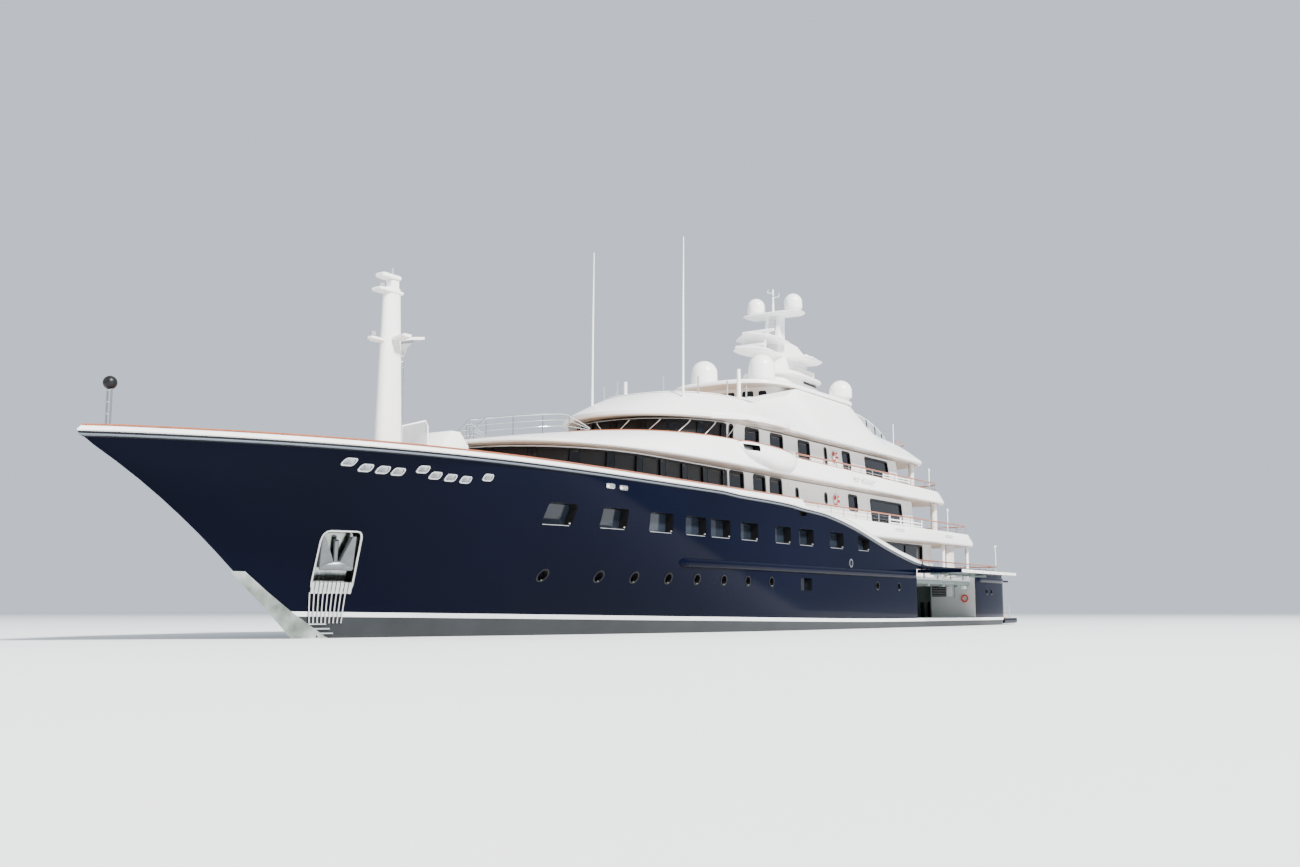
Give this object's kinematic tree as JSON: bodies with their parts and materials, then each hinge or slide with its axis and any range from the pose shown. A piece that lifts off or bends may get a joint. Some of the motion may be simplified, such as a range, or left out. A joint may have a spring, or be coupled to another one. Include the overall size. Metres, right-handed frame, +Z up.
{
  "type": "1:10 scale model motor yacht",
  "caption": "Motor yacht with flared bow, stacked decks with rails, domed radar mast, hinged shell doors, rudders, fins and propellers",
  "frame": {"origin": "amidships on the centreline, at the waterline", "axes": "+X to the bow, +Y to port, +Z up"},
  "size_m": [8.555, 1.768, 2.81],
  "materials": {
    "navy_paint": "gloss",
    "white_paint": "gloss",
    "bottom_paint": "matt",
    "black_paint": "satin",
    "steel_polished": "polished",
    "steel_grey": "brushed",
    "teak": "oiled",
    "varnished_wood": "varnished",
    "dark_glass": "smooth",
    "bronze": "polished"
  },
  "bodies": {
    "body": {"anchor_pocket_port": "steel_polished", "anchor_pocket_starboard": "steel_polished", "anchor_port": "steel_grey", "anchor_starboard": "steel_grey", "bridge_deck": "white_paint", "bridge_house": "white_paint", "bridge_rail_port": "varnished_wood", "bridge_rail_starboard": "varnished_wood", "bulwark_port": "navy_paint", "bulwark_starboard": "navy_paint", "dome_aft_port": "white_paint", "dome_aft_starboard": "white_paint", "dome_forward_port": "white_paint", "dome_forward_starboard": "white_paint", "dome_top_port": "white_paint", "dome_top_starboard": "white_paint", "ensign_staff": "white_paint", "foredeck_locker": "white_paint", "foremast": "white_paint", "hardtop": "white_paint", "hull": "navy_paint", "jackstaff": "black_paint", "main_house": "white_paint", "main_rail_port": "varnished_wood", "main_rail_starboard": "varnished_wood", "radar_mast": "white_paint", "shaft_port": "steel_grey", "shaft_starboard": "steel_grey", "skylight": "dark_glass", "stem_plate": "steel_polished", "sun_deck": "white_paint", "sun_house": "white_paint", "sun_rail_port": "varnished_wood", "sun_rail_starboard": "varnished_wood", "swim_platform": "teak", "upper_deck": "white_paint", "upper_glass": "dark_glass", "upper_house": "white_paint", "upper_rail_port": "varnished_wood", "upper_rail_starboard": "varnished_wood", "wheelhouse_glass": "dark_glass", "whip_port": "white_paint", "whip_starboard": "white_paint", "windlass_port": "steel_polished", "windlass_starboard": "steel_polished"},
    "propeller_port": {"propeller_port": "bronze"},
    "rudder_port": {"rudder_port": "bottom_paint"},
    "stabiliser_fin_port": {"stabiliser_fin_port": "bottom_paint"},
    "shell_door_port": {"shell_door_port": "navy_paint"},
    "saloon_door_port": {"saloon_door_port": "dark_glass"},
    "propeller_starboard": {"propeller_starboard": "bronze"},
    "rudder_starboard": {"rudder_starboard": "bottom_paint"},
    "stabiliser_fin_starboard": {"stabiliser_fin_starboard": "bottom_paint"},
    "shell_door_starboard": {"shell_door_starboard": "navy_paint"},
    "saloon_door_starboard": {"saloon_door_starboard": "dark_glass"},
    "transom_hatch": {"transom_hatch": "navy_paint"},
    "radar_lower": {"radar_lower": "white_paint"},
    "radar_upper": {"radar_upper": "white_paint"}
  },
  "joints": [
    {"name": "propeller_port_turn", "type": "hinge", "parent": "body", "child": "propeller_port", "pos_m": [-2.95, 0.3, -0.28], "axis": [1, 0, 0], "continuous": true},
    {"name": "rudder_port_turn", "type": "hinge", "parent": "body", "child": "rudder_port", "pos_m": [-3.22, 0.3, -0.2], "axis": [0, 0, 1], "range_deg": [-35, 35]},
    {"name": "stabiliser_fin_port_turn", "type": "hinge", "parent": "body", "child": "stabiliser_fin_port", "pos_m": [0.6, 0.33706, -0.37283], "axis": [0, 0.766, -0.6428], "range_deg": [-20, 20]},
    {"name": "shell_door_port_swing", "type": "hinge", "parent": "body", "child": "shell_door_port", "pos_m": [-2.2175, 0.712, 0.393], "axis": [-1, 0, 0], "range_deg": [0, 90]},
    {"name": "saloon_door_port_slide", "type": "slide", "parent": "body", "child": "saloon_door_port", "axis": [0, 1, 0], "range_m": [0, 0.15]},
    {"name": "propeller_starboard_turn", "type": "hinge", "parent": "body", "child": "propeller_starboard", "pos_m": [-2.95, -0.3, -0.28], "axis": [1, 0, 0], "continuous": true},
    {"name": "rudder_starboard_turn", "type": "hinge", "parent": "body", "child": "rudder_starboard", "pos_m": [-3.22, -0.3, -0.2], "axis": [0, 0, 1], "range_deg": [-35, 35]},
    {"name": "stabiliser_fin_starboard_turn", "type": "hinge", "parent": "body", "child": "stabiliser_fin_starboard", "pos_m": [0.6, -0.33706, -0.37283], "axis": [0, -0.766, -0.6428], "range_deg": [-20, 20]},
    {"name": "shell_door_starboard_swing", "type": "hinge", "parent": "body", "child": "shell_door_starboard", "pos_m": [-2.2175, -0.712, 0.393], "axis": [-1, 0, 0], "range_deg": [0, 90]},
    {"name": "saloon_door_starboard_slide", "type": "slide", "parent": "body", "child": "saloon_door_starboard", "axis": [0, -1, 0], "range_m": [0, 0.15]},
    {"name": "transom_hatch_swing", "type": "hinge", "parent": "body", "child": "transom_hatch", "pos_m": [-3.646, 0, 0.342], "axis": [0, -1, 0], "range_deg": [0, 90]},
    {"name": "radar_lower_turn", "type": "hinge", "parent": "body", "child": "radar_lower", "pos_m": [-0.59, 0, 1.85], "axis": [0, 0, 1], "continuous": true},
    {"name": "radar_upper_turn", "type": "hinge", "parent": "body", "child": "radar_upper", "pos_m": [-0.71, 0, 1.968], "axis": [0, 0, 1], "continuous": true}
  ]
}
